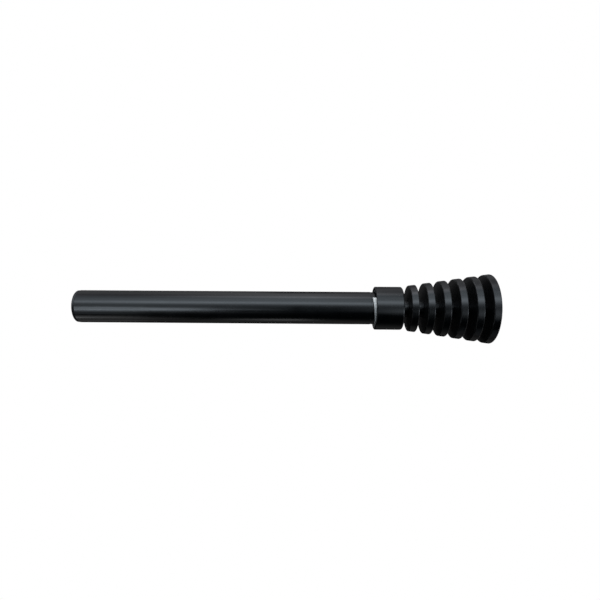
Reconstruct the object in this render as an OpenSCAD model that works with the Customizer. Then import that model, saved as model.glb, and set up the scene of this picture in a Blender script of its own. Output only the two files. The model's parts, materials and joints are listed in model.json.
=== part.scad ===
// Telescoping curtain rod end: an outer tube with a sliding inner tube, and a stacked-disc
// finial clamped on by a collar. The rod lies along X, +Z is up, -Y faces the room.
// The origin is on the rod's axis, at the open mouth of the outer tube; the finial is at +X.

/* [Rod] */
// Outside diameter of the outer tube
tube_d = 25.4; // [22:0.1:32]
// Wall thickness of the outer tube
tube_wall = 0.8; // [0.7:0.1:1.2]
// Length of the outer tube, the part inside the collar included
tube_l = 245; // [120:5:1200]
// Gap between the outer tube's inside and the inner tube's outside, per side
telescope_gap = 0.9; // [0.9:0.1:1.6]
// Wall thickness of the inner tube
inner_wall = 0.6; // [0.5:0.1:1.2]

/* [Inner tube fittings] */
// Length of the plastic guide ring in the outer tube's mouth
guide_l = 15; // [8:1:25]
// Width of the lengthwise split in the guide ring
guide_split = 2; // [1:0.5:4]
// Length of the sliding skirt on the hidden end of the inner tube
glide_l = 8; // [5:1:12]
// Thickness of the end cap's flange
cap_flange = 2; // [1:0.1:4]
// Length of the end cap's plug
cap_plug_l = 12; // [11:1:20]

/* [Collar] */
// Wall thickness of the collar round its socket
collar_wall = 2.45; // [2.3:0.05:4]
// Length of the collar
collar_l = 21.2; // [20.6:0.2:28]
// Depth of the collar's socket
socket_depth = 14.2; // [13.8:0.2:15]
// Edge rounding of the collar
collar_round = 1.3; // [0.4:0.1:1.3]
// Thickness of the split liner between tube and collar
liner_t = 1.75; // [1.5:0.05:2]
// How far the liner stands out of the collar at the rod's mid height
lip_mean = 1.6; // [1.2:0.1:2.6]
// Slant of the liner's outer end, which is longest at the top, in degrees
lip_slant = 6; // [0:0.1:6]
// Where the liner's slit starts, in degrees above the room side
slit_start = 34; // [10:1:60]
// Width of the liner's slit, in degrees
slit_width = 86; // [10:1:86]

/* [Set screw] */
// Nominal diameter of the set screw
screw_d = 4; // [3:0.5:5]
// Length of the set screw
screw_l = 3; // [2.6:0.1:3]
// Distance of the set screw from the collar's mouth
screw_x = 8; // [6:0.5:9]
// Turn of the set screw from straight down, towards the wall side, in degrees
screw_turn = 15; // [0:5:60]

/* [Finial] */
// Diameter of the first disc on its collar side
disc_d = 35.9; // [30:0.1:45]
// Growth in diameter from one disc to the next
disc_step = 3.42; // [0:0.02:5]
// Thickness of a disc
disc_t = 5.45; // [4:0.05:8]
// Growth in diameter across one disc's rim
rim_taper = 1.36; // [0:0.02:2.4]
// Edge rounding of the discs
disc_round = 0.7; // [0.2:0.1:1.2]
// Gap between the collar and the first disc
neck_gap = 5; // [3:0.1:9]
// Gap between two discs
disc_gap = 6.08; // [3:0.02:9]
// Diameter of the spacers between the discs
core_d = 13; // [10:0.5:20]

/* [Tie stud] */
// Nominal diameter of the stud that ties the stack together
stud_d = 6; // [5:0.5:7]
// Metal left between the last disc's tapped hole and its outer face
face_t = 2.73; // [2:0.01:3.4]

/* [Hidden] */

body_color = "#1b1d1e";
bright_color = "#b4b7b9";
facets = 96;
screw_facets = 48;
round_steps = 5;        // steps in a rounded edge
run = 0.05;             // clearance per side of a sliding fit
snug = 0.02;            // clearance per side of a tight fit
over = 1;               // how far a cut runs past a face
edge = 0.2;             // chamfer of the washer, spacers and boss

// Tubes
tube_r = tube_d / 2;
bore_r = tube_r - tube_wall;
inner_r = bore_r - telescope_gap;
inner_bore_r = inner_r - inner_wall;
seat_r = tube_r - 0.2;  // the tube is turned down under the liner

// Collar and liner
liner_in_r = seat_r + run;
liner_out_r = liner_in_r + liner_t;
socket_r = liner_out_r + run;
collar_r = socket_r + collar_wall;
floor_x = tube_l + 0.2;            // the socket's floor, just past the tube's end
collar_x = floor_x - socket_depth; // the collar's mouth
collar_end = collar_x + collar_l;
lip_x = collar_x - lip_mean;       // the liner's outer end at mid height
lip_rise = liner_out_r * tan(lip_slant);
seat_x = lip_x - lip_rise - 0.4;

// Set screw, with heights from the rod's axis along the screw
screw_r = screw_d / 2;
screw_end_r = screw_r - 0.5;
screw_top = collar_r - 0.25;
screw_bottom = screw_top - screw_l;
key_af = 2;

// Washers and nut on the socket's floor
washer_t = 1.6;
washer_r = 6;
spring_t = 1.5;
spring_r = 5.5;
nut_t = 5;
nut_af = 10;
washer_x = floor_x - washer_t;
spring_x = washer_x - spring_t;
nut_x = spring_x - nut_t;

// Ends of the inner tube
glide_end = nut_x - 3;             // the inner tube's fittings stop short of the nut
inner_end = glide_end - glide_l;
cap_gap = 0.15;                    // the cap's flange stops just short of the tube's mouth

// Finial stack and stud
disc_count = 6;
last = disc_count - 1;
core_r = core_d / 2;
pitch = disc_t + disc_gap;
function disc_x(i) = collar_end + neck_gap + i * pitch;
function disc_r(i) = (disc_d + i * disc_step) / 2;
stud_r = stud_d / 2;
stud_hole_r = stud_r + 0.2;
stud_x = nut_x - 1.5;
boss_x = disc_x(last) - disc_gap;
tap_end = boss_x + pitch - face_t; // end of the thread in the last disc
stud_end = tap_end - 0.3;

// A profile of [radius, x] points turned round the rod's axis
module turned(points) rotate([0, 90, 0]) rotate_extrude($fn = facets) polygon(points);

// A plain ring round the rod's axis
module ring(x0, x1, r_out, r_in)
  turned([[r_in, x0], [r_out, x0], [r_out, x1], [r_in, x1]]);

// A ring with both outer edges chamfered; solid when r_in is 0
module chamfered_ring(x0, x1, r_out, r_in, chamfer)
  turned([[r_in, x0], [r_out - chamfer, x0], [r_out, x0 + chamfer],
          [r_out, x1 - chamfer], [r_out - chamfer, x1], [r_in, x1]]);

// A cylinder along the rod's axis
module rod(x0, x1, r)
  translate([x0, 0, 0]) rotate([0, 90, 0]) cylinder(r = r, h = x1 - x0, $fn = facets);

// Corner points of a rim from x0 to x1 whose radius runs from r0 to r1, with rounded edges
function rim(x0, r0, x1, r1, radius) =
  let (slope = (r1 - r0) / (x1 - x0),
       // [drop in radius, distance from the face] along one rounded edge
       arc = [for (k = [0:round_steps]) let (a = 90 * k / round_steps)
              [radius * (1 - sin(a)), radius * (1 - cos(a))]])
  concat(
    [for (k = [0:round_steps]) [r0 - arc[k].x + slope * arc[k].y, x0 + arc[k].y]],
    [for (k = [round_steps:-1:0]) [r1 - arc[k].x - slope * arc[k].y, x1 - arc[k].y]]);

function disc_rim(i) =
  rim(disc_x(i), disc_r(i), disc_x(i) + disc_t, disc_r(i) + rim_taper / 2, disc_round);

// Turns +Z to point out of the collar along the set screw
module at_screw()
  translate([collar_x + screw_x, 0, 0]) rotate([180 + screw_turn, 0, 0]) children();

module screw_hole(r) at_screw() cylinder(r = r, h = collar_r + 5, $fn = screw_facets);

module outer_tube() color(body_color) turned([
  [bore_r, 0.2], [bore_r + 0.15, 0], [tube_r, 0], [tube_r, seat_x], [seat_r, seat_x + 0.1],
  [seat_r, tube_l - 0.3], [seat_r - 0.2, tube_l], [bore_r, tube_l]]);

module inner_tube() color("#24282a") turned([
  [inner_bore_r, -cap_gap], [inner_r - 0.1, -cap_gap], [inner_r, 0.1],
  [inner_r, inner_end - 0.2], [inner_r - 0.2, inner_end], [inner_bore_r, inner_end]]);

// Ring between the tubes, split along its top
module guide_ring() {
  in_r = inner_r + run;
  out_r = bore_r - snug;
  color("#e4e4df") difference() {
    turned([[in_r, 1.1], [in_r + 0.4, 0.6], [bore_r - 0.4, 0.6], [out_r, 1.1],
            [out_r, guide_l - 0.4], [bore_r - 0.3, guide_l], [in_r + 0.3, guide_l],
            [in_r, guide_l - 0.4]]);
    translate([-over, -guide_split / 2, 0]) cube([guide_l + 2 * over, guide_split, tube_r]);
  }
}

// Plug in the inner tube's hidden end, with a skirt cut by four slots
module inner_glide() {
  hole_r = inner_bore_r - 2.4;
  plug_r = inner_bore_r - snug;
  skirt_r = bore_r - run;
  plug_x = inner_end - 12;
  slot_w = 1.5;
  color("#d8d8d2") difference() {
    turned([[hole_r, plug_x], [inner_bore_r - 0.8, plug_x], [plug_r, plug_x + 1],
            [plug_r, inner_end], [skirt_r - 0.4, inner_end], [skirt_r, inner_end + 0.4],
            [skirt_r, glide_end - 0.8], [skirt_r - 0.8, glide_end], [hole_r, glide_end]]);
    for (a = [0:90:359]) rotate([a + 45, 0, 0])
      translate([inner_end + 2, -slot_w / 2, inner_bore_r - 1]) cube([glide_l, slot_w, tube_r]);
  }
}

// Flange with a rounded outer edge and a hollow plug with three ridges
module end_cap() {
  flange_r = tube_r - 0.2;
  face_x = -cap_gap - cap_flange;
  plug_r = inner_bore_r - 0.4;
  ridge_r = inner_bore_r - snug;
  ridge_pitch = 3;
  hole_r = inner_bore_r - 2.2;
  color("#18191a") turned([
    [0, face_x], [flange_r - 0.6, face_x], [flange_r - 0.25, face_x + 0.1],
    [flange_r - 0.05, face_x + 0.35], [flange_r, face_x + 0.7],
    [flange_r, -cap_gap - 0.2], [flange_r - 0.1, -cap_gap], [plug_r, -cap_gap],
    for (k = [1:3]) let (x = k * ridge_pitch)
      each [[plug_r, x - 1.2], [ridge_r, x - 0.6], [ridge_r, x - 0.2], [plug_r, x]],
    [plug_r, cap_plug_l - 1], [plug_r - 0.8, cap_plug_l],
    [hole_r, cap_plug_l], [hole_r, 1], [0, 1]]);
}

module collar() {
  chamfer = 0.3;  // at the socket's mouth
  color(body_color) difference() {
    turned(concat([[0, collar_x]],
      rim(collar_x, collar_r, collar_end, collar_r, collar_round),
      [[0, collar_end]]));
    rod(collar_x - over, floor_x, socket_r);
    turned([[0, collar_x - over], [socket_r + over + chamfer, collar_x - over],
            [socket_r, collar_x + chamfer], [0, collar_x + chamfer]]);
    rod(floor_x - over, collar_end + over, stud_r + 0.3);
    screw_hole(screw_r);
  }
}

module split_liner() color("#d3dadb") difference() {
  ring(lip_x - lip_rise - 0.2, floor_x - 0.1, liner_out_r, liner_in_r);
  // slanted outer end
  translate([lip_x, 0, 0]) rotate([90, 0, 0]) rotate([0, 0, lip_slant])
    translate([-40, -50, -50]) cube([40, 100, 100]);
  // slit, one flat wall at each side
  intersection() {
    rotate([-slit_start, 0, 0])
      translate([collar_x - 20, -50, 0]) cube([60, 50, 50]);
    rotate([-slit_start - slit_width, 0, 0])
      translate([collar_x - 20, -50, -50]) cube([60, 50, 50]);
  }
  screw_hole(screw_r + 0.3);
}

module set_screw() {
  r = screw_r - run;
  color("#3a3c3d") at_screw() difference() {
    translate([0, 0, screw_bottom]) rotate_extrude($fn = screw_facets) polygon([
      [0, 0], [screw_end_r, 0], [r, 0.45],
      [r, screw_l - 0.3], [r - 0.3, screw_l], [0, screw_l]]);
    // hexagon socket
    translate([0, 0, screw_top - 1.5]) cylinder(d = key_af / cos(30), h = 5, $fn = 6);
  }
}

// Short pin between the set screw and the tube
module screw_tip() {
  z0 = seat_r + 0.06;
  z1 = screw_bottom - 0.05;
  color("#e8e2cf") at_screw()
    translate([0, 0, z0]) cylinder(r = screw_end_r, h = z1 - z0, $fn = screw_facets);
}

module tie_stud() color("#a9adb0")
  chamfered_ring(stud_x, stud_end, stud_r - run, 0, 0.55);

module plain_washer() color(bright_color)
  chamfered_ring(washer_x, floor_x, washer_r, stud_hole_r, edge);

// Ring with a skewed split at its top
module lock_washer() color("#9fa3a5") difference() {
  ring(spring_x, washer_x, spring_r, stud_r + 0.15);
  translate([spring_x + spring_t / 2, 0, 4.5]) rotate([0, 0, 25])
    cube([6, 0.8, 5], center = true);
}

// Hexagon nut with bevelled corners
module clamp_nut() {
  nut_end = nut_x + nut_t;
  face_r = nut_af / 2 - 0.2;
  bevel_r = nut_af / 2 + 1.2;
  bevel_l = 0.8;
  color(bright_color) difference() {
    intersection() {
      translate([nut_x, 0, 0]) rotate([0, 90, 0])
        cylinder(d = nut_af / cos(30), h = nut_t, $fn = 6);
      turned([[0, nut_x], [face_r, nut_x], [bevel_r, nut_x + bevel_l],
              [bevel_r, nut_end - bevel_l], [face_r, nut_end], [0, nut_end]]);
    }
    rod(nut_x - over, nut_end + over, stud_r);
  }
}

// Spacer i fills the gap before disc i
module spacer(i) color("#141516")
  chamfered_ring(disc_x(i) - (i == 0 ? neck_gap : disc_gap), disc_x(i),
                 core_r, stud_hole_r, edge);

// One plain disc with a clearance hole for the stud
module disc(i) color(body_color)
  turned(concat([[stud_hole_r, disc_x(i)]], disc_rim(i), [[stud_hole_r, disc_x(i) + disc_t]]));

// The last disc has a tapped boss, its hole ending in a cone, and a plain end face
module last_disc() color(body_color)
  turned(concat(
    [[0, tap_end + 0.9], [stud_r, tap_end], [stud_r, boss_x],
     [core_r - edge, boss_x], [core_r, boss_x + edge], [core_r, disc_x(last)]],
    disc_rim(last),
    [[0, disc_x(last) + disc_t]]));

module spacer_1() spacer(0);
module spacer_2() spacer(1);
module spacer_3() spacer(2);
module spacer_4() spacer(3);
module spacer_5() spacer(4);
module disc_1() disc(0);
module disc_2() disc(1);
module disc_3() disc(2);
module disc_4() disc(3);
module disc_5() disc(4);
module disc_6() last_disc();

outer_tube();
inner_tube();
guide_ring();
inner_glide();
end_cap();
collar();
split_liner();
set_screw();
screw_tip();
tie_stud();
plain_washer();
lock_washer();
clamp_nut();
spacer_1();
spacer_2();
spacer_3();
spacer_4();
spacer_5();
disc_1();
disc_2();
disc_3();
disc_4();
disc_5();
disc_6();
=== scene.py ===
"""A telescopic rod with a finial of stacked discs, lying along X.

X runs from the end cap, at the left, to the finial, at the right. -Y is the room side, +Y the
wall side and +Z is up. Lengths are in mm until build() turns them into metres. Angles round the
rod are measured from +Y towards +Z.
"""
import json
import math
from functools import cached_property

import bpy
import bmesh
import numpy as np
from mathutils import Matrix, Quaternion, Vector

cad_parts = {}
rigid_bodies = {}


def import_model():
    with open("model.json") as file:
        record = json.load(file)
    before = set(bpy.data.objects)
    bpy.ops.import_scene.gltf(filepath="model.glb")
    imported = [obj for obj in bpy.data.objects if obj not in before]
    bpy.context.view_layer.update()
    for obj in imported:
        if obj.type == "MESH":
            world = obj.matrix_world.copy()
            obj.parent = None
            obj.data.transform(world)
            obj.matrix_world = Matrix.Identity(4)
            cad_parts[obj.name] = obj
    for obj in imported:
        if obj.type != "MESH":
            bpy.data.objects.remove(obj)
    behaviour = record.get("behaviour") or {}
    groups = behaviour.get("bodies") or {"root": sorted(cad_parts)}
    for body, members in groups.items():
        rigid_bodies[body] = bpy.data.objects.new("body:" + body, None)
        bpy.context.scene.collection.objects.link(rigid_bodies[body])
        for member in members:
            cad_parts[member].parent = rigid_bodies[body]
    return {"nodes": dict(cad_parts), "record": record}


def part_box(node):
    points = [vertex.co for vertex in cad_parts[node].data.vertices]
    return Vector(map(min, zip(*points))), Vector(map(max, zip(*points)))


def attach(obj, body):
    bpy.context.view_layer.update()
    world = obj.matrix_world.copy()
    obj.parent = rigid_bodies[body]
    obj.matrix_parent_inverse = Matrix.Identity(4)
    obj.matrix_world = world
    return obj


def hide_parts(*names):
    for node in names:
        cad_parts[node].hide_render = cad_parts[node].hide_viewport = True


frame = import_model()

MM = 0.001
scene = bpy.context.scene
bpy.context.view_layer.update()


# ------------------------------------------------------------------ sizes and places
def span(node):
    """Where a CAD piece starts and ends along X."""
    low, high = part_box(node)
    return low[0] / MM, high[0] / MM


def outer_radius(node):
    low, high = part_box(node)
    return max(high[1] - low[1], high[2] - low[2]) / 2 / MM


mount = frame["record"]["mounts"][0]["dims"]
tube_start, tube_end = span("outer_tube")
tube_r = mount["r_mm"]
seat_start = mount["length_mm"]      # from here on the tube is turned down to seat_r
seat_r = tube_r - 0.2
bore_r = tube_r - 0.8

inner_start, inner_end = span("inner_tube")
inner_r = outer_radius("inner_tube")
inner_bore_r = inner_r - 0.6

cap_start, cap_end = span("end_cap")
cap_r = outer_radius("end_cap")
guide_start, guide_end = span("guide_ring")

collar_start, collar_end = span("collar")
collar_r = outer_radius("collar")
liner_end = span("split_liner")[1]
liner_in_r, liner_out_r = seat_r + 0.05, 14.3
socket_r = liner_out_r + 0.05        # the collar's socket, which holds the liner

SPACER_R = 6.5
CLEAR_R = 3.2                        # hole through the discs, spacers and plain washer
COLLAR_HOLE_R = 3.3

nut_start, nut_end = span("clamp_nut")
washer_start, washer_end = span("plain_washer")
lock_start, lock_end = span("lock_washer")
stud_start, stud_end = span("tie_stud")
STUD_R = 3.0

screw_joint = next(joint for joint in frame["record"]["behaviour"]["joints"]
                   if joint["name"] == "screw_turn")
screw_axis = Vector(screw_joint["axis"]).normalized()
screw_x = screw_joint["pos_m"][0] / MM
screw_out = collar_r - 0.25          # outer end of the set screw, from the rod's axis
SCREW_LENGTH = 3.0
# takes a piece built along X to the screw's own line, which starts on the rod's axis
screw_place = (Matrix.Translation(Vector((screw_x, 0, 0)))
               @ Vector((1, 0, 0)).rotation_difference(screw_axis).to_matrix().to_4x4())


# ------------------------------------------------------------------ outlines
def fillet(outline, steps=5, hold=0.06):
    """Rounds an outline of (x, radius, corner rounding) into (x, radius, wear) points.

    Where there is room, a holding point stands at each side of an arc.
    """
    points = []
    for i, (x, radius, rounding) in enumerate(outline):
        if rounding <= 0 or i in (0, len(outline) - 1):
            points.append((x, radius, 0.0))
            continue
        corner = Vector((x, radius))
        before = Vector(outline[i - 1][:2]) - corner
        after = Vector(outline[i + 1][:2]) - corner
        lengths = before.length, after.length
        before.normalize()
        after.normalize()
        half = before.angle(after) / 2
        reach = min(rounding / math.tan(half), lengths[0] * 0.49, lengths[1] * 0.49)
        rounding = reach * math.tan(half)
        centre = corner + (before + after).normalized() * (rounding / math.sin(half))
        first = corner + before * reach - centre
        last = corner + after * reach - centre
        start = math.atan2(first.y, first.x)
        turn = math.atan2(last.y, last.x) - start
        turn = (turn + math.pi) % (2 * math.pi) - math.pi
        arc = []
        for k in range(steps + 1):
            angle = start + turn * k / steps
            arc.append((centre.x + rounding * math.cos(angle),
                        centre.y + rounding * math.sin(angle),
                        math.sin(math.pi * k / steps) * 0.6 + 0.4))
        holds = [[(*(corner + side * (reach + hold)), 0.0)] if reach + hold < length * 0.5 else []
                 for side, length in zip((before, after), lengths)]
        points += holds[0] + arc + holds[1]
    return points


def split_long(points, longest):
    """Adds points so that no stretch of the profile is longer than longest."""
    split = [points[0]]
    for here, there in zip(points, points[1:]):
        length = math.hypot(there[0] - here[0], there[1] - here[1])
        count = max(1, int(math.ceil(length / longest)))
        for k in range(1, count + 1):
            part = k / count
            split.append(tuple(a + (b - a) * part for a, b in zip(here, there)))
    return split


def ring_outline(start, end, r_in, r_out, rounds, first_x, last_x):
    """A rectangular ring's outline, which begins and ends on its bore at first_x and last_x.

    rounds: inner and outer corner at the start, then outer and inner corner at the end.
    """
    return [(first_x, r_in, 0),
            (start, r_in, rounds[0]), (start, r_out, rounds[1]),
            (end, r_out, rounds[2]), (end, r_in, rounds[3]),
            (last_x, r_in, 0)]


# ------------------------------------------------------------------ meshes
def around(x, radius, angle):
    return (x, radius * math.cos(angle), radius * math.sin(angle))


def ring_angles(segments):
    return [2 * math.pi * i / segments for i in range(segments)]


def bridge(first, second, count):
    """Quads between two rings of count vertices that start at the given indices."""
    return [(first + i, first + (i + 1) % count, second + (i + 1) % count, second + i)
            for i in range(count)]


def hexagon(flats, angle):
    """Radius of a hexagon at an angle, from its width across flats."""
    return flats / 2 / math.cos((angle + math.pi / 6) % (math.pi / 3) - math.pi / 6)


def shade_smooth(mesh, sharp):
    mesh.polygons.foreach_set("use_smooth", [True] * len(mesh.polygons))
    mesh.set_sharp_from_angle(angle=math.radians(sharp))


def build(name, verts, faces, wear, sharp=40.0, place=None):
    """A mesh object from mm points; place, if given, takes them to the rod's frame."""
    points = np.asarray(verts, float)
    if place is not None:
        matrix = np.array(place)
        points = points @ matrix[:3, :3].T + matrix[:3, 3]
    points = points * MM
    mesh = bpy.data.meshes.new(name)
    mesh.from_pydata([tuple(map(float, point)) for point in points], [], faces)
    mesh.validate()
    work = bmesh.new()
    work.from_mesh(mesh)
    bmesh.ops.remove_doubles(work, verts=work.verts, dist=1e-8)
    bmesh.ops.recalc_face_normals(work, faces=work.faces)
    if work.calc_volume(signed=True) < 0:
        bmesh.ops.reverse_faces(work, faces=work.faces)
    work.to_mesh(mesh)
    work.free()
    # the edge mask for wear and painted glint only fits the vertices if none were merged
    if len(mesh.vertices) == len(verts):
        layer = mesh.attributes.new("wear", "FLOAT", "POINT")
        layer.data.foreach_set("value", np.asarray(wear, np.float32))
    shade_smooth(mesh, sharp)
    mesh.update()
    piece = bpy.data.objects.new(name, mesh)
    scene.collection.objects.link(piece)
    return piece


def revolve(name, profile, segments=192, closed=True, groove=None, place=None):
    """Turns (x, radius, wear) points round X. A point at radius 0 becomes a pole.

    closed joins the last point to the first. groove(radius, angle) is added to the radius.
    """
    verts, wear, rings = [], [], []
    for x, radius, worn in profile:
        count = 1 if radius < 1e-6 else segments
        rings.append(range(len(verts), len(verts) + count))
        for angle in ring_angles(segments)[:count]:
            change = groove(radius, angle) if groove else 0.0
            verts.append(around(x, radius + change, angle))
            wear.append(worn)
    pairs = list(zip(rings, rings[1:]))
    if closed:
        pairs.append((rings[-1], rings[0]))
    faces = []
    for here, there in pairs:
        for i in range(segments):
            j = (i + 1) % segments
            if len(here) == 1:
                faces.append((here[0], there[i], there[j]))
            elif len(there) == 1:
                faces.append((here[i], there[0], here[j]))
            else:
                faces.append((here[i], there[i], there[j], here[j]))
    return build(name, verts, faces, wear, place=place)


def arc_sweep(name, section, start, end, segments, shift=None):
    """Sweeps a closed section of (x, radius, wear) points round X between two angles.

    Both ends are closed by a slightly rounded cap. shift(x, radius, angle) is added to x.
    """
    count = len(section)
    mid_x = sum(point[0] for point in section) / count
    mid_r = sum(point[1] for point in section) / count
    inset = 0.12 / mid_r
    # stations: (angle, how far the section draws in)
    stations = [(start, 0.112), (start + inset * 0.35, 0.024)]
    stations += [(start + inset + (end - start - 2 * inset) * k / segments, 0.0)
                 for k in range(segments + 1)]
    stations += [(end - inset * 0.35, 0.024), (end, 0.112)]
    verts, wear = [], []
    for angle, draw in stations:
        for x, radius, worn in section:
            moved = shift(x, radius, angle) if shift else 0.0
            off_x, off_r = x - mid_x, radius - mid_r
            length = math.hypot(off_x, off_r)
            verts.append(around(x - off_x / length * draw + moved,
                                radius - off_r / length * draw, angle))
            wear.append(1.0 if draw else worn)
    last = (len(stations) - 1) * count
    faces = []
    for k in range(len(stations) - 1):
        for i in range(count):
            j = (i + 1) % count
            faces.append((k * count + i, k * count + j,
                          (k + 1) * count + j, (k + 1) * count + i))
    faces.append(tuple(range(count)))
    faces.append(tuple(range(last + count - 1, last - 1, -1)))
    return build(name, verts, faces, wear)


def thread_radius(x, angle, major, depth, pitch):
    """Radius of a right-hand 60 degree thread."""
    turn = (x / pitch - angle / (2 * math.pi)) % 1.0
    fall = abs(turn - 0.5) * 2                # 0 at the crest, 1 at the root
    return major - depth * min(1.0, max(0.0, (fall - 0.12) / 0.76))


def threaded_rod(name, parts, major, depth, pitch, segments, place=None, socket=None,
                 chamfer=0.45, steps=10):
    """A rod along X made of stretches (start, end, threaded), with steps rings to each pitch.

    socket: a hexagon socket's (width across flats, depth) at the far end.
    """
    start, end = parts[0][0], parts[-1][1]
    stations = []
    for low, high, threaded in parts:
        if threaded:
            count = max(1, int(round((high - low) / pitch * steps)))
        else:
            count = max(1, int((high - low) / 4))
        stations += [(low + (high - low) * k / count, threaded) for k in range(count)]
    stations.append((end, parts[-1][2]))
    angles = ring_angles(segments)
    verts, faces, wear = [], [], []
    for x, threaded in stations:
        from_end = min(x - start, end - x)
        for angle in angles:
            radius = thread_radius(x, angle, major, depth, pitch) if threaded else major
            radius = min(radius, major - chamfer + from_end * 1.1)
            verts.append(around(x, radius, angle))
            wear.append(0.6 if threaded and radius > major - 0.1 * depth else 0.0)
    for k in range(len(stations) - 1):
        faces += bridge(k * segments, (k + 1) * segments, segments)
    centre = len(verts)
    verts.append((start, 0, 0))
    wear.append(0)
    faces += [(centre, (i + 1) % segments, i) for i in range(segments)]

    ring = (len(stations) - 1) * segments
    bottom = end
    if socket:
        flats, deep = socket
        bottom = end - deep - 0.35
        # (x, how much the hexagon grows): its rim, the foot of its chamfer, its depth
        for x, grow in ((end, 0.16), (end - 0.14, 0.0), (end - deep, 0.0)):
            below = len(verts)
            for angle in angles:
                radius = hexagon(flats, angle) + grow
                if grow:
                    radius = max(radius, flats / 2 / math.cos(math.pi / 6) + 0.02)
                verts.append(around(x, radius, angle))
                wear.append(1.0 if grow else 0.0)
            faces += bridge(ring, below, segments)
            ring = below
    centre = len(verts)
    verts.append((bottom, 0, 0))
    wear.append(0)
    faces += [(centre, ring + i, ring + (i + 1) % segments) for i in range(segments)]
    return build(name, verts, faces, wear, sharp=42.0, place=place)


def hex_nut(name, start, end, flats, bore, pitch, segments=144):
    """A chamfered hexagon nut with a faintly ridged bore."""
    thickness = end - start
    rows = [0.0, 0.12, 0.3, 0.5, 0.75, 1.0]   # distances from either face
    outside = ([start + row for row in rows] + [start + thickness / 2]
               + [end - row for row in rows[::-1]])
    bore_rows = int(thickness / pitch * 8)
    inside = [end - thickness * k / bore_rows for k in range(bore_rows + 1)]
    verts, faces, wear = [], [], []
    for x in outside:
        from_face = min(x - start, end - x)
        for angle in ring_angles(segments):
            radius = min(hexagon(flats, angle), flats / 2 / math.cos(math.pi / 6) - 0.06,
                         flats / 2 - 0.15 + from_face * 1.6)
            verts.append(around(x, radius, angle))
            wear.append(0.8 if radius > flats / 2 + 0.3 else 0.0)
    for x in inside:
        from_face = min(x - start, end - x)
        for angle in ring_angles(segments):
            turn = (x / pitch - angle / (2 * math.pi)) % 1.0
            radius = bore + max(0.0, 0.35 - from_face) + 0.10 * (abs(turn - 0.5) * 2)
            verts.append(around(x, radius, angle))
            wear.append(0.0)
    total = len(outside) + len(inside)
    for k in range(total):
        faces += bridge(k * segments, (k + 1) % total * segments, segments)
    return build(name, verts, faces, wear, sharp=30.0)


# ------------------------------------------------------------------ shader nodes
def scaled_color(color, factor):
    return tuple(min(1.0, channel * factor) for channel in color)


class Nodes:
    """Short ways to make nodes in the cleared tree of a material or world."""

    def __init__(self, owner):
        owner.use_nodes = True
        self.tree = owner.node_tree
        self.tree.nodes.clear()

    def put(self, socket, value):
        """Links a socket to the input, or sets the input to a value."""
        if isinstance(value, bpy.types.NodeSocket):
            self.tree.links.new(value, socket)
        elif socket.type == "RGBA":
            socket.default_value = (*value, 1.0)
        else:
            socket.default_value = value

    def add(self, kind, inputs=None, **settings):
        node = self.tree.nodes.new(kind)
        for setting, value in settings.items():
            setattr(node, setting, value)
        for key, value in (inputs or {}).items():
            self.put(node.inputs[key], value)
        return node

    def math(self, operation, first, second=0.0):
        return self.add("ShaderNodeMath", {0: first, 1: second}, operation=operation).outputs[0]


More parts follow.
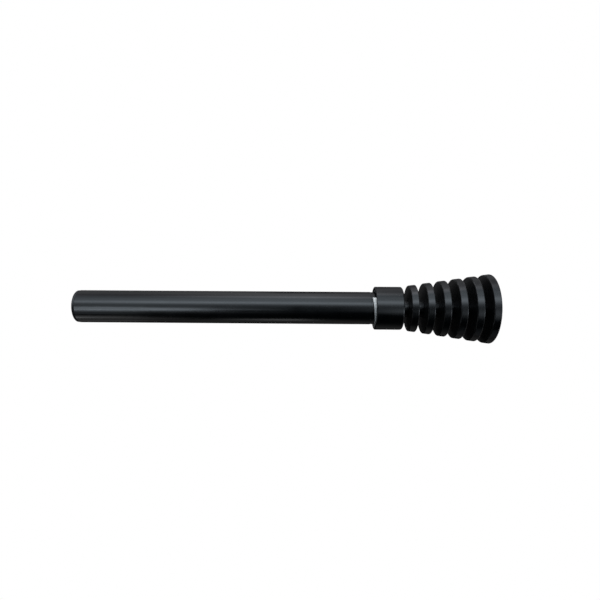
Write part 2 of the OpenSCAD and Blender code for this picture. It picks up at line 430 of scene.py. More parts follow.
class Material(Nodes):
    """A new material with the pattern nodes that the finishes share."""

    def __init__(self, name):
        self.material = bpy.data.materials.new(name)
        super().__init__(self.material)
        self.output = self.add("ShaderNodeOutputMaterial")
        self.place = self.add("ShaderNodeTexCoord").outputs["Object"]

    @cached_property
    def axes(self):
        return self.add("ShaderNodeSeparateXYZ", {0: self.place}).outputs

    def vector(self, x, y, z=0.0):
        return self.add("ShaderNodeCombineXYZ", {0: x, 1: y, 2: z}).outputs[0]

    def scaled(self, x=1, y=1, z=1):
        """Object coordinates in mm, with each axis scaled."""
        scale = (x * 1000, y * 1000, z * 1000)
        return self.add("ShaderNodeMapping", {"Scale": scale, "Vector": self.place}).outputs[0]

    def noise(self, vector, scale, detail=3.0, rough=0.55, distort=0.0):
        return self.add("ShaderNodeTexNoise", {
            "Scale": scale, "Detail": detail, "Roughness": rough, "Distortion": distort,
            "Vector": vector}).outputs["Fac"]

    def cells(self, vector, scale):
        """Distance to the nearest of many scattered points."""
        return self.add("ShaderNodeTexVoronoi",
                        {"Scale": scale, "Vector": vector}).outputs["Distance"]

    def ramp(self, value, over, to=(0.0, 1.0)):
        """Maps the range over onto the range to, clamped."""
        return self.add("ShaderNodeMapRange", {
            "From Min": over[0], "From Max": over[1], "To Min": to[0], "To Max": to[1],
            "Value": value}, clamp=True).outputs[0]

    def mix(self, amount, first, second):
        return self.add("ShaderNodeMix", {0: amount, 6: first, 7: second},
                        data_type="RGBA").outputs[2]

    def stain(self, base, mask, amount, color):
        """Lays a colour over the base where the mask is."""
        return self.mix(self.math("MULTIPLY", mask, amount), base, color)

    def vary(self, base, pattern, amount):
        """Adds amount times the pattern's distance from one half."""
        swing = self.math("MULTIPLY", self.math("SUBTRACT", pattern, 0.5), amount)
        return self.math("ADD", base, swing)

    # the edge mask: where edges are rubbed or dirty, and where the black coat paints a glint
    def wear(self):
        return self.add("ShaderNodeAttribute", attribute_name="wear").outputs["Fac"]

    def radius(self):
        """Distance from the rod's axis, in mm."""
        y, z = self.axes[1], self.axes[2]
        square = self.math("ADD", self.math("MULTIPLY", y, y), self.math("MULTIPLY", z, z))
        return self.math("MULTIPLY", self.math("SQRT", square), 1000.0)

    def angle(self):
        return self.math("ARCTAN2", self.axes[2], self.axes[1])

    def x_mm(self):
        return self.math("MULTIPLY", self.axes[0], 1000.0)

    def turning(self, spread, scale, detail, rough):
        """Noise that is the same all round the rod, like turning marks."""
        across = self.math("MULTIPLY", self.radius(), spread)
        return self.noise(self.vector(across, self.x_mm()), scale, detail, rough)

    def bump(self, height, strength, depth, normal=None):
        """depth is in mm."""
        inputs = {"Strength": strength, "Distance": depth * MM, "Height": height}
        if normal is not None:
            inputs["Normal"] = normal
        return self.add("ShaderNodeBump", inputs).outputs[0]

    def surface(self, **inputs):
        """Ends the material in a principled shader."""
        shader = self.add("ShaderNodeBsdfPrincipled",
                          {key.replace("_", " "): value for key, value in inputs.items()})
        self.put(self.output.inputs["Surface"], shader.outputs[0])
        return self.material


# ------------------------------------------------------------------ materials
BLACK = (0.0006, 0.0010, 0.0013)
DUST = (0.16, 0.16, 0.155)
# light grey for rubbed edges; on the black coat it is partly a painted glint along the edges
BARE_EDGE_AND_GLINT = (0.20, 0.20, 0.20)
SCUFF = (0.035, 0.036, 0.037)


def black_coat(name, rough, peel, wear, turned=0.0, slide=0.0, faced=0.0):
    """Satin black coat with soft blotches in the gloss and specks of dust.

    peel, wear, turned and slide set the strength of the orange peel, the lighter rubbed
    edges (partly a painted glint), turning marks and sliding marks. faced is how much duller the
    faces square to the rod are.
    """
    mat = Material(name)
    place = mat.scaled()
    blotch = mat.noise(mat.scaled(y=1.6, z=1.6), scale=0.055, detail=3.0, rough=0.6, distort=0.4)
    grain = mat.noise(place, scale=3.4, detail=2.0, rough=0.6)
    base = mat.mix(mat.ramp(blotch, over=(0.25, 0.75)),
                   scaled_color(BLACK, factor=0.85), scaled_color(BLACK, factor=1.25))
    # dust and tiny pits
    dots = mat.ramp(mat.cells(place, scale=0.55), over=(0.085, 0.05))
    dusty = mat.ramp(mat.noise(place, scale=0.23, detail=1.0), over=(0.52, 0.62))
    speck = mat.math("MULTIPLY", dots, dusty)
    base = mat.stain(base, speck, amount=0.30, color=DUST)
    # rubbed edges show a little of the metal through the coat; this lighter grey on the edges is
    # partly a painted glint
    edge = mat.ramp(mat.wear(), over=(0.45, 1.0))
    patches = mat.ramp(mat.noise(place, scale=0.42, detail=4.0, rough=0.65), over=(0.50, 0.72))
    base = mat.stain(base, mat.math("MULTIPLY", edge, patches), amount=wear, color=BARE_EDGE_AND_GLINT)
    dull = mat.ramp(blotch, over=(0.25, 0.75), to=(rough - 0.035, rough + 0.045))
    dull = mat.vary(dull, grain, amount=0.09)
    dull = mat.math("ADD", dull, mat.math("MULTIPLY", speck, 0.25))
    # orange peel, coarse and then fine
    coarse = mat.noise(place, scale=0.75, detail=2.0, rough=0.5)
    normal = mat.bump(coarse, strength=0.55 * peel, depth=0.006)
    fine = mat.noise(place, scale=2.6, detail=1.0, rough=0.5)
    normal = mat.bump(fine, strength=0.35 * peel, depth=0.0012, normal=normal)
    if turned:
        rings = mat.turning(spread=1.0, scale=2.3, detail=5.0, rough=0.75)
        normal = mat.bump(rings, strength=0.8 * turned, depth=0.0022, normal=normal)
        dull = mat.vary(dull, rings, amount=0.10 * turned)
    if slide:
        # noise drawn out along the rod and fine round it
        round_rod = mat.math("MULTIPLY", mat.angle(), 14.0)
        drawn = mat.vector(mat.math("MULTIPLY", mat.x_mm(), 0.02), round_rod)
        scuff = mat.noise(drawn, scale=1.7, detail=6.0, rough=0.72)
        line = mat.ramp(scuff, over=(0.56, 0.70))
        dull = mat.math("ADD", dull, mat.math("MULTIPLY", line, -0.09 * slide))
        base = mat.stain(base, line, amount=0.35 * slide, color=SCUFF)
        normal = mat.bump(scuff, strength=0.5 * slide, depth=0.003, normal=normal)
    if faced:
        true_normal = mat.add("ShaderNodeNewGeometry").outputs["True Normal"]
        split = mat.add("ShaderNodeSeparateXYZ", {0: true_normal})
        square = mat.math("ABSOLUTE", split.outputs[0])
        dull = mat.math("ADD", dull, mat.ramp(square, over=(0.90, 0.99), to=(0.0, faced)))
    return mat.surface(Base_Color=base, Roughness=dull, Specular_IOR_Level=0.5, Normal=normal)


def moulded_plastic(name, color, rough, texture, shade=0.10, glow=0.0, worn=0.0):
    """Moulded plastic with a fine texture and slight flow marks.

    shade is the depth of the flow marks, glow the light let through, worn the dirt on edges.
    """
    mat = Material(name)
    place = mat.scaled()
    flow = mat.noise(mat.scaled(x=0.4), scale=0.18, detail=3.0, rough=0.6, distort=0.8)
    base = mat.mix(mat.ramp(flow, over=(0.3, 0.7)), scaled_color(color, factor=1 - shade),
                   scaled_color(color, factor=1 + shade * 0.6))
    edge = mat.ramp(mat.wear(), over=(0.4, 1.0))
    patches = mat.ramp(mat.noise(place, scale=0.7, detail=3.0), over=(0.45, 0.7))
    base = mat.stain(base, mat.math("MULTIPLY", edge, patches), amount=worn,
                     color=scaled_color(color, factor=0.45))
    fine = mat.noise(place, scale=6.0, detail=2.0, rough=0.6)
    normal = mat.bump(fine, strength=0.5 * texture, depth=0.004)
    dull = mat.ramp(flow, over=(0.3, 0.7), to=(rough - 0.04, rough + 0.05))
    dull = mat.vary(dull, fine, amount=0.12)
    inputs = dict(Base_Color=base, Roughness=dull, Specular_IOR_Level=0.5, Normal=normal)
    if glow:
        inputs.update(Subsurface_Weight=glow, Subsurface_Scale=1.0,
                      Subsurface_Radius=(0.0022, 0.0021, 0.0019))
    return mat.surface(**inputs)


def plated_steel(name, color, rough, turned=0.6, blue=0.0):
    """Plated or oxide-finished steel: a patchy finish, bluer by blue, and machining lines."""
    mat = Material(name)
    patch = mat.noise(mat.scaled(), scale=0.5, detail=4.0, rough=0.6, distort=0.5)
    cool = (color[0] * (0.86 - blue), color[1] * 0.88, color[2] * (0.92 + blue))
    base = mat.mix(mat.ramp(patch, over=(0.3, 0.7)), color, cool)
    lines = mat.turning(spread=1.2, scale=4.0, detail=4.0, rough=0.7)
    dull = mat.ramp(patch, over=(0.25, 0.75), to=(rough - 0.06, rough + 0.10))
    dull = mat.vary(dull, lines, amount=0.16 * turned)
    normal = mat.bump(lines, strength=0.6 * turned, depth=0.003)
    return mat.surface(Base_Color=base, Metallic=1.0, Roughness=dull, Normal=normal)


tube_coat = black_coat("tube_black_coat", rough=0.20, peel=0.5, wear=0.35)
inner_coat = black_coat("inner_tube_slide_polish", rough=0.27, peel=0.6, wear=0.5, slide=1.0)
collar_coat = black_coat("collar_black_coat", rough=0.20, peel=0.5, turned=0.2, wear=0.2)
disc_coat = black_coat("disc_black_coat", rough=0.22, peel=0.6, turned=0.5, wear=0.2, faced=0.2)
spacer_coat = black_coat("spacer_black_coat", rough=0.26, peel=0.6, turned=0.4, wear=0.3)
cap_plastic = moulded_plastic("cap_black_plastic", color=(0.012, 0.0125, 0.013),
                              rough=0.36, texture=0.8, shade=0.2)
liner_plastic = moulded_plastic("liner_pale_plastic", color=(0.555, 0.555, 0.54),
                                rough=0.42, texture=0.5, worn=0.35)
guide_plastic = moulded_plastic("guide_offwhite_plastic", color=(0.62, 0.62, 0.58),
                                rough=0.40, texture=0.6, glow=0.10, worn=0.5)
nylon = moulded_plastic("pad_nylon", color=(0.66, 0.62, 0.50),
                        rough=0.38, texture=0.4, glow=0.15, worn=0.4)
zinc = plated_steel("zinc_plated_steel", color=(0.60, 0.61, 0.63), rough=0.30, blue=0.05)
spring_steel = plated_steel("spring_steel", color=(0.30, 0.30, 0.31), rough=0.38)
oxide = plated_steel("black_oxide_steel", color=(0.055, 0.055, 0.058), rough=0.33, turned=0.5)


def finish_piece(piece, node, material, body):
    piece.data.materials.clear()
    piece.data.materials.append(material)
    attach(piece, body)
    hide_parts(node)


# ------------------------------------------------------------------ the tubes
def seam(at, depth, width, beyond):
    """A shallow groove along a tube at one angle, only where the radius is past beyond."""
    def groove(radius, angle):
        if radius <= beyond:
            return 0.0
        away = (angle - at + math.pi) % (2 * math.pi) - math.pi
        across = away * radius / width
        return -depth * math.exp(-across * across)
    return groove


# outer tube, its seam towards the wall and down
outline = [(tube_start + 0.6, bore_r, 0), (tube_start, bore_r, 0.12), (tube_start, tube_r, 0.16),
           (seat_start, tube_r, 0.05), (seat_start + 0.1, seat_r, 0.05),
           (tube_end, seat_r, 0.2), (tube_end, bore_r, 0.1), (tube_end - 0.6, bore_r, 0)]
piece = revolve("outer_tube_shell", split_long(fillet(outline, steps=4, hold=0.05), longest=6.0),
                segments=288,
                groove=seam(at=math.radians(-62), depth=0.07, width=0.45, beyond=tube_r - 0.3))
finish_piece(piece, "outer_tube", tube_coat, "rod")

# inner tube, its seam towards the room and down
outline = ring_outline(inner_start, inner_end, inner_bore_r, inner_r,
                       rounds=(0.1, 0.15, 0.2, 0.1),
                       first_x=inner_start + 0.6, last_x=inner_end - 0.6)
piece = revolve("inner_tube_shell", split_long(fillet(outline, steps=3, hold=0.05), longest=8.0),
                segments=240,
                groove=seam(at=math.radians(-118), depth=0.06, width=0.40, beyond=inner_r - 0.3))
finish_piece(piece, "inner_tube", inner_coat, "extension")

# guide ring between the two tubes, with a 2 mm split at the top
guide_out_r = bore_r - 0.02
outline = ring_outline(guide_start, guide_end, inner_r + 0.05, guide_out_r,
                       rounds=(0.35, 0.35, 0.3, 0.3),
                       first_x=guide_end - 2, last_x=guide_end - 2)
half_split = math.asin(1.0 / guide_out_r)
piece = arc_sweep("guide_ring_split", fillet(outline, steps=4, hold=0.05)[:-1],
                  math.pi / 2 + half_split, 2.5 * math.pi - half_split, segments=160)
finish_piece(piece, "guide_ring", guide_plastic, "rod")

# end cap: a flange with a shallow dished face and a mark at its middle, and a hollow plug
flange_back = -0.15
core_r = inner_bore_r - 0.4
barb_r = inner_bore_r - 0.02
hollow_r = inner_bore_r - 2.2
outline = [(cap_start + 0.30, 0.0, 0), (cap_start + 0.30, 0.9, 0.05),
           (cap_start + 0.42, 1.1, 0.08), (cap_start + 0.42, 8.9, 0.8),
           (cap_start, 10.3, 0.5), (cap_start, cap_r, 0.55),
           (flange_back, cap_r, 0.15), (flange_back, core_r, 0)]
for barb_end in (3, 6, 9):
    outline += [(barb_end - 1.2, core_r, 0.05), (barb_end - 0.6, barb_r, 0.05),
                (barb_end - 0.2, barb_r, 0.05), (barb_end, core_r, 0.05)]
outline += [(cap_end - 1, core_r, 0.3), (cap_end, inner_bore_r - 1.2, 0.3),
            (cap_end, hollow_r, 0.2), (1.0, hollow_r, 0.4), (1.0, 0.0, 0)]
piece = revolve("end_cap_moulding", split_long(fillet(outline), longest=3.0), closed=False)
finish_piece(piece, "end_cap", cap_plastic, "extension")


# ------------------------------------------------------------------ the collar and its liner
def bore_for_screw(piece, steps):
    """Cuts the set screw's hole through one wall of a piece.

    steps: the hole's (distance from the rod's axis, radius) points, going outwards.
    """
    profile = [(steps[0][0], 0.0, 0)] + [(x, radius, 0) for x, radius in steps]
    profile.append((steps[-1][0], 0.0, 0))
    cutter = revolve("hole_cutter", profile, segments=64, closed=False, place=screw_place)
    hole = piece.modifiers.new("hole", "BOOLEAN")
    hole.operation = "DIFFERENCE"
    hole.solver = "EXACT"
    hole.object = cutter
    bpy.context.view_layer.update()
    depsgraph = bpy.context.evaluated_depsgraph_get()
    cut = bpy.data.meshes.new_from_object(piece.evaluated_get(depsgraph))
    piece.modifiers.clear()
    piece.data = cut
    bpy.data.objects.remove(cutter)
    shade_smooth(piece.data, sharp=40)


cut_from = tube_r - 6.0

# collar: its socket opens towards the tube, and its floor lies against the plain washer
COLLAR_ROUND = 1.3
SCREW_HOLE_R, HOLE_RIM_R = 2.0, 2.75
outline = [(washer_end, COLLAR_HOLE_R, 0), (washer_end, socket_r, 0.2),
           (collar_start + 1.0, socket_r, 0.1), (collar_start, socket_r + 0.9, 0.25),
           (collar_start, collar_r, COLLAR_ROUND), (collar_end, collar_r, COLLAR_ROUND),
           (collar_end, COLLAR_HOLE_R, 0.1), (washer_end + 1, COLLAR_HOLE_R, 0)]
collar = revolve("collar_ring", split_long(fillet(outline, steps=10), longest=2.0), segments=288)
bore_for_screw(collar, [(cut_from, SCREW_HOLE_R), (collar_r - 0.42, SCREW_HOLE_R),
                        (collar_r + 0.4, HOLE_RIM_R), (collar_r + 4, HOLE_RIM_R)])
finish_piece(collar, "collar", collar_coat, "finial")

# split liner: the end towards the tube is slanted, and its wide slit faces up and to the room
LINER_FROM, LINER_TO = math.radians(146), math.radians(420)
SLANT = math.radians(6.0)
LIP = 1.6                            # how far the liner stands out of the collar
LINER_HOLE_R = 2.3


def liner_lip(x, radius, angle):
    """Moves the end at x = 0 to the slanted lip, which reaches furthest at the top."""
    if x >= 2.0:
        return 0.0
    return collar_start - LIP - math.tan(SLANT) * radius * math.cos(angle - math.pi / 2)


outline = ring_outline(0.0, liner_end, liner_in_r, liner_out_r, rounds=(0.12, 0.3, 0.15, 0.15),
                       first_x=liner_end - 3, last_x=liner_end - 3)
liner = arc_sweep("split_liner_sleeve", fillet(outline, steps=5, hold=0.05)[:-1],
                  LINER_FROM, LINER_TO, segments=220, shift=liner_lip)
bore_for_screw(liner, [(cut_from, LINER_HOLE_R), (collar_r + 2, LINER_HOLE_R)])
finish_piece(liner, "split_liner", liner_plastic, "finial")

# ------------------------------------------------------------------ discs and spacers
DISC_COUNT = 6
DISC_ROUND = 0.7
DISC_TAPER = 0.68                    # how much smaller a disc's rim is at its start
LAST_DISC_THICK = 5.45
BLIND_HOLE_R = 3.0


def disc_outline(number):
    """A tapered disc. The last one has a neck with a blind hole, and a plain end face."""
    node = "disc_%d" % number
    start, end = span(node)
    rim_end = outer_radius(node)
    rim_start = rim_end - DISC_TAPER
    if number < DISC_COUNT:
        return [(start + 2.0, CLEAR_R, 0), (start, CLEAR_R, 0.15),
                (start, rim_start, DISC_ROUND), (end, rim_end, DISC_ROUND),
                (end, CLEAR_R, 0.15), (start + 2.4, CLEAR_R, 0)]
    face = end - LAST_DISC_THICK
    return [(start + 9.7, 0.0, 0), (start + 8.8, BLIND_HOLE_R, 0), (start, BLIND_HOLE_R, 0.2),
            (start, SPACER_R, 0.2), (face, SPACER_R, 0.25),
            (face, rim_start, DISC_ROUND), (end, rim_end, DISC_ROUND), (end, 0.0, 0)]


for number in range(1, DISC_COUNT + 1):
    profile = split_long(fillet(disc_outline(number), steps=8), longest=2.2)
    piece = revolve("disc_%d_turned" % number, profile, segments=320, closed=number < DISC_COUNT)
    finish_piece(piece, "disc_%d" % number, disc_coat, "finial")

for number in range(1, DISC_COUNT):
    start, end = span("spacer_%d" % number)
    outline = ring_outline(start, end, CLEAR_R, SPACER_R, rounds=(0.1, 0.22, 0.22, 0.1),
                           first_x=start + 1, last_x=start + 1.4)
    piece = revolve("spacer_%d_turned" % number, split_long(fillet(outline), longest=1.5),
                    segments=160)
    finish_piece(piece, "spacer_%d" % number, spacer_coat, "finial")

# ------------------------------------------------------------------ fasteners
# tie stud, threaded at both ends
first_thread_end, last_thread_start = stud_start + 14, stud_end - 9
piece = threaded_rod("tie_stud_threaded",
                     [(stud_start, first_thread_end, True),
                      (first_thread_end, last_thread_start, False),
                      (last_thread_start, stud_end, True)],
                     major=STUD_R - 0.05, depth=0.5, pitch=1.0, segments=48)
finish_piece(piece, "tie_stud", zinc, "finial")

# plain washer
outline = ring_outline(washer_start, washer_end, CLEAR_R, 6.0, rounds=(0.1, 0.25, 0.15, 0.1),
                       first_x=washer_start + 0.8, last_x=washer_start + 0.9)
piece = revolve("plain_washer_pressed", fillet(outline, steps=4, hold=0.04), segments=128)
finish_piece(piece, "plain_washer", zinc, "finial")

# lock washer, split at the top
LOCK_HALF_SPLIT = 0.09               # radians
outline = ring_outline(lock_start, lock_end, 3.15, 5.5, rounds=(0.1, 0.1, 0.1, 0.1),
                       first_x=lock_start + 0.7, last_x=lock_start + 0.8)
piece = arc_sweep("lock_washer_sprung", fillet(outline, steps=3, hold=0.04)[:-1],
                  math.pi / 2 + LOCK_HALF_SPLIT, 2.5 * math.pi - LOCK_HALF_SPLIT, segments=96)
finish_piece(piece, "lock_washer", spring_steel, "finial")

piece = hex_nut("clamp_nut_hex", nut_start, nut_end, flats=10.0, bore=STUD_R - 0.01, pitch=1.0)
finish_piece(piece, "clamp_nut", zinc, "finial")

# set screw through the collar, with a pad between it and the tube's seat
piece = threaded_rod("set_screw_grub", [(screw_out - SCREW_LENGTH, screw_out, True)],
                     major=1.95, depth=0.36, pitch=0.7, segments=96, place=screw_place,
                     socket=(2.0, 1.5), chamfer=0.32, steps=14)
finish_piece(piece, "set_screw", oxide, "screw")

PAD_R = 1.5
pad_in, pad_out = seat_r + 0.06, screw_out - SCREW_LENGTH - 0.05
outline = [(pad_in, 0.0, 0), (pad_in, PAD_R, 0.18), (pad_out, PAD_R, 0.1), (pad_out, 0.0, 0)]
piece = revolve("screw_tip_pad", fillet(outline, steps=4, hold=0.03), segments=72,
                closed=False, place=screw_place)
finish_piece(piece, "screw_tip", nylon, "screw_pad")

# the inner tube's hidden glide keeps its CAD shape
glide = frame["nodes"]["inner_glide"]
glide.data.materials.clear()
glide.data.materials.append(guide_plastic)

# ------------------------------------------------------------------ world
scene.view_settings.view_transform = "Standard"
scene.view_settings.look = "None"
scene.view_settings.exposure = 0.0
scene.view_settings.gamma = 1.0

# A soft screen stands all round the rod. Elevations run from the room side (0) over the top (90)
# to the wall side (180), and from 0 through straight below (-90) to the wall side (-180).
# direction along X (-1 to 1): [(elevation in degrees, level)]
SCREEN = {
    -0.95: [(-180, 0.25), (0, 0.25), (90, 0.35), (180, 0.25)],
    -0.7: [(-180, 0.20), (-165, 0.0), (-60, 0.0), (0, 0.0), (20, 0.20), (35, 1.10), (50, 0.60),
           (80, 0.80), (100, 0.50), (130, 0.15), (165, 0.25), (180, 0.30)],
    -0.35: [(-180, 0.0), (-138, 0.0), (-120, 0.10), (-105, 0.12), (-90, 0.0), (-50, 0.02),
            (-40, 0.17), (-32, 0.50), (-24, 0.0), (8, 0.0), (16, 0.86), (24, 1.77), (32, 3.57),
            (40, 2.24), (48, 1.23), (56, 1.43), (64, 0.94), (72, 0.67), (90, 0.25), (105, 0.45),
            (120, 0.0), (150, 0.13), (165, 0.32), (180, 0.0)],
    0.0: [(-180, 0.0), (-152, 0.0), (-138, 0.07), (-120, 0.15), (-105, 0.14), (-90, 0.03),
          (-75, 0.0), (-8, 0.0), (0, 0.08), (8, 0.22), (16, 0.58), (24, 1.68), (32, 3.35),
          (40, 2.26), (48, 1.58), (56, 1.91), (64, 1.32), (72, 2.17), (80, 3.03), (90, 1.23),
          (105, 1.02), (120, 0.44), (135, 0.0), (150, 0.13), (165, 0.20), (180, 0.0)],
    0.35: [(-180, 0.0), (-152, 0.0), (-138, 0.10), (-128, 0.08), (-110, 0.0), (-32, 0.0),
           (-24, 0.30), (-16, 0.60), (0, 0.66), (8, 0.58), (16, 1.11), (24, 2.80), (32, 2.77),
           (40, 1.14), (48, 0.72), (56, 1.04), (64, 0.34), (72, 0.0), (105, 0.02), (120, 0.38),
           (135, 0.30), (150, 0.15), (180, 0.0)],
    0.7: [(-180, 0.30), (-150, 0.50), (-120, 0.25), (-90, 0.35), (-60, 0.15), (-32, 0.60),
          (-16, 6.00), (-4, 0.30), (10, 0.05), (40, 0.10), (56, 0.59), (75, 0.25), (95, 0.30),
          (120, 1.10), (140, 0.90), (155, 0.30), (180, 0.30)],
    0.95: [(-180, 0.30), (0, 0.30), (90, 0.45), (180, 0.30)],
}
TOP_LEVEL = 6.0                      # the screen's highest level, white on its ramps
COOL = (0.88, 1.0, 1.11)
NEUTRAL = (0.97, 1.0, 1.02)
WHITE = (1, 1, 1)
# the screen's colour, (elevation, colour): cool from the room side, nearly neutral elsewhere
HUES = [(-180, (1.0, 1.0, 1.02)), (-60, (1.0, 1.0, 1.01)), (-30, (0.92, 1.0, 1.08)),
        (-10, COOL), (68, COOL), (80, (0.97, 1.0, 1.08)),
        (120, (0.99, 1.0, 1.05)), (180, (1.0, 1.0, 1.02))]


def elevation_ramp(nodes, turn, stops):
    """A colour ramp over the elevation, from (degrees, colour) stops."""
    node = nodes.add("ShaderNodeValToRGB", {0: turn})
    elements = node.color_ramp.elements
    while len(elements) < len(stops):
        elements.new(1.0)
    for element, (degrees, color) in zip(elements, stops):
        element.position = degrees / 360.0 + 0.5
        element.color = (*color, 1.0)
    return node.outputs[0]


def screen_level(nodes, along, turn):
    """The screen's level, blended between its directions along X."""
    total = None
    sides = sorted(SCREEN)
    for k, side in enumerate(sides):
        stops = [(degrees, (level / TOP_LEVEL,) * 3) for degrees, level in SCREEN[side]]
        level = elevation_ramp(nodes, turn, stops)
        # full at its own direction, fading to nothing at its neighbours'
        fades = []
        if k > 0:
            before = sides[k - 1]
            fades.append(nodes.math("DIVIDE", nodes.math("SUBTRACT", along, before),
                                    side - before))
        if k < len(sides) - 1:
            after = sides[k + 1]
            fades.append(nodes.math("DIVIDE", nodes.math("SUBTRACT", after, along),
                                    after - side))
        share = fades[0] if len(fades) == 1 else nodes.math("MINIMUM", *fades)
        share = nodes.math("MINIMUM", nodes.math("MAXIMUM", share, 0.0), 1.0)
        part = nodes.math("MULTIPLY", level, share)
        total = part if total is None else nodes.math("ADD", total, part)
    return nodes.math("MULTIPLY", total, TOP_LEVEL)


def make_world():
    """The camera sees plain white; everything else sees the screen."""
    world = bpy.data.worlds.new("studio")
    scene.world = world
    nodes = Nodes(world)
    direction = nodes.add("ShaderNodeTexCoord").outputs["Generated"]
    x, y, z = nodes.add("ShaderNodeSeparateXYZ", {0: direction}).outputs
    elevation = nodes.math("ARCTAN2", z, nodes.math("MULTIPLY", y, -1.0))
    turn = nodes.math("ADD", nodes.math("MULTIPLY", elevation, 0.5 / math.pi), 0.5)
    level = screen_level(nodes, x, turn)
    hue = elevation_ramp(nodes, turn, HUES)
    screen = nodes.add("ShaderNodeBackground", {0: hue, 1: level})
    white = nodes.add("ShaderNodeBackground", {0: WHITE, 1: 1.0})
    seen = nodes.add("ShaderNodeLightPath").outputs["Is Camera Ray"]
    mix = nodes.add("ShaderNodeMixShader", {0: seen, 1: screen.outputs[0], 2: white.outputs[0]})
    nodes.add("ShaderNodeOutputWorld", {0: mix.outputs[0]})


def make_floor():
    """A white floor well below the rod, which neither lights nor shades it."""
    material = bpy.data.materials.new("pale_floor")
    nodes = Nodes(material)
    glow = nodes.add("ShaderNodeEmission", {0: WHITE, 1: 1.0})
    nodes.add("ShaderNodeOutputMaterial", {"Surface": glow.outputs[0]})
    grid = bmesh.new()
    bmesh.ops.create_grid(grid, x_segments=1, y_segments=1, size=6.0)
    mesh = bpy.data.meshes.new("floor")
    grid.to_mesh(mesh)
    grid.free()
    floor = bpy.data.objects.new("floor", mesh)
    floor.location = (0.16, 0, -0.45)
    scene.collection.objects.link(floor)
    mesh.materials.append(material)
    floor.visible_glossy = False
    floor.visible_diffuse = False
    floor.visible_shadow = False


make_world()
make_floor()


# ------------------------------------------------------------------ lights (metres)
def area_light(name, elevation, x, length, width, distance, power, tint=WHITE):
    """An area light facing the rod at x, at an elevation measured as for the screen."""
    light = bpy.data.lights.new(name, "AREA")
    light.shape = "RECTANGLE"
    light.size, light.size_y = length, width
    light.energy = power
    light.color = tint
    lamp = bpy.data.objects.new(name, light)
    angle = math.radians(elevation)
    place = Vector((x, -math.cos(angle) * distance, math.sin(angle) * distance))
    outward = (place - Vector((x, 0, 0))).normalized()
    along = Vector((1, 0, 0))
    lamp.matrix_world = Matrix((along, outward.cross(along), outward)).transposed().to_4x4()
    lamp.location = place
    lamp.visible_camera = False
    scene.collection.objects.link(lamp)
    return lamp


def receivers(name, *prefixes):
    """A collection of the meshes whose names start with one of the prefixes."""
    group = bpy.data.collections.new(name)
    for item in scene.objects:
        if item.type == "MESH" and item.name.startswith(prefixes):
            group.objects.link(item)
    return group


def strips(prefix, groups):
    """Strip lights that show only as reflections, from (receivers, tint, rows) groups."""
    number = 0
    for group, tint, rows in groups:
        for elevation, start, end, width, level in rows:
            number += 1
            length = end - start
            lamp = area_light("%s_%d" % (prefix, number), elevation, x=(start + end) / 2,
                              length=length, width=width, distance=0.7,
                              power=4.0 * length * width * level, tint=tint)
            lamp.visible_diffuse = False
            lamp.light_linking.receiver_collection = group


# a softbox overhead; its mirror image is already part of the screen
overhead = area_light("overhead", elevation=90, x=0.2, length=1.2, width=0.9, distance=1.2,
                      power=16.0)
overhead.visible_glossy = False

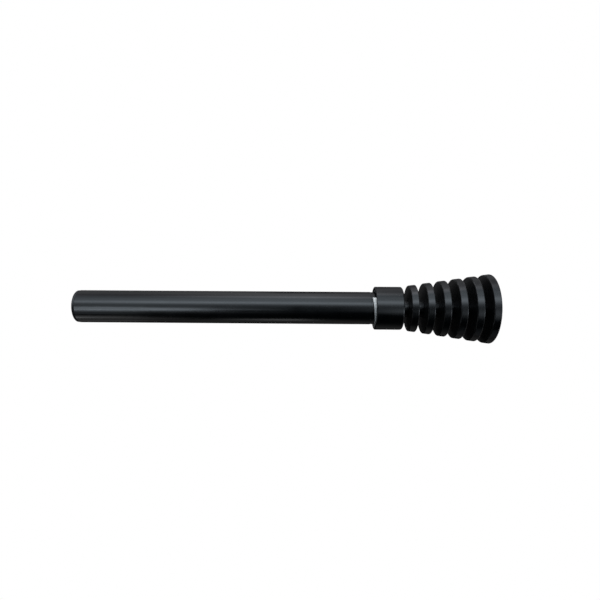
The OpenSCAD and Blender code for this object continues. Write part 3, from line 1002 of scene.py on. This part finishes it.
# All rows: (elevation in degrees, start x, end x, width, level).
# strips for the tubes and guide ring alone: from the room side, then from below and behind
tube_side = receivers("tube_side", "outer_tube", "inner_tube", "guide_ring")
strips("strip", [
    (tube_side, COOL, [
        (-50, -0.42, -0.20, 0.20, 0.22), (-34, -0.42, -0.20, 0.12, 0.60),
        (-24, -0.42, -0.20, 0.10, 3.15), (-24, -0.20, -0.05, 0.10, 2.00),
        (-16, -0.42, -0.20, 0.10, 1.75), (-16, -0.20, -0.05, 0.10, 2.82),
        (-16, -0.05, 0.10, 0.10, 0.64), (-8, -0.42, -0.20, 0.10, 2.35),
        (-8, -0.20, -0.05, 0.10, 1.18), (-8, -0.05, 0.10, 0.10, 0.33),
        (4, -0.42, -0.20, 0.20, 0.55), (4, -0.20, -0.05, 0.20, 0.44),
        (4, -0.05, 0.10, 0.20, 0.27)]),
    (tube_side, NEUTRAL, [
        (-121, -0.42, -0.19, 0.42, 0.11), (-81, -0.45, -0.21, 0.29, 0.37),
        (-66, -0.75, -0.42, 0.40, 0.20), (-90, -0.75, -0.35, 0.20, 1.11),
        (-90, -0.35, -0.19, 0.20, 0.21), (-90, -0.19, -0.10, 0.20, 0.14),
        (-96, 0.00, 0.09, 0.20, 0.32), (-96, 0.09, 0.18, 0.20, 0.75),
        (123, -0.42, -0.21, 0.40, 0.16), (123, -0.21, 0.10, 0.40, 0.18)]),
])

# low strips for the collar and discs, ones from below for the last discs, one for all discs
finial_side = receivers("finial_side", "collar", "disc")
discs = receivers("discs", "disc")
last_discs = receivers("last_discs", "disc_4", "disc_5", "disc_6")
strips("low", [
    (finial_side, COOL, [
        (-8, 0.36, 0.39, 0.12, 0.24), (-8, 0.39, 0.60, 0.12, 0.35),
        (-18, 0.36, 0.39, 0.12, 0.36), (-18, 0.39, 0.60, 0.12, 0.65),
        (-28, 0.39, 0.60, 0.12, 0.35)]),
    (last_discs, COOL, [
        (-86, 0.375, 0.40, 0.34, 0.02), (-86, 0.40, 0.50, 0.38, 0.10),
        (-128, 0.365, 0.40, 0.26, 0.10)]),
    (discs, COOL, [(-13, 0.19, 0.35, 0.18, 0.12)]),
])

# ------------------------------------------------------------------ camera
CAMERA_DISTANCE = 366.9              # mm, from the rod's axis
CAMERA_YAW = 0.0148                  # radians, turned towards the end cap
CAMERA_ROLL = math.radians(0.394)
aim_x = collar_start - 57.98         # the point of the rod straight ahead of the camera

lens = bpy.data.cameras.new("camera")
lens.sensor_width = 36.0
lens.lens = 27.999
lens.clip_start, lens.clip_end = 0.01, 50.0
lens.shift_y = 0.01276667
camera = bpy.data.objects.new("camera", lens)
scene.collection.objects.link(camera)
scene.camera = camera
look = Vector((-math.sin(CAMERA_YAW), math.cos(CAMERA_YAW), 0.0))
camera.rotation_mode = "QUATERNION"
camera.rotation_quaternion = Quaternion(look, -CAMERA_ROLL) @ look.to_track_quat("-Z", "Y")
camera.location = Vector((aim_x + CAMERA_DISTANCE * math.sin(CAMERA_YAW),
                          -CAMERA_DISTANCE * math.cos(CAMERA_YAW), 0.0)) * MM

bpy.context.view_layer.update()
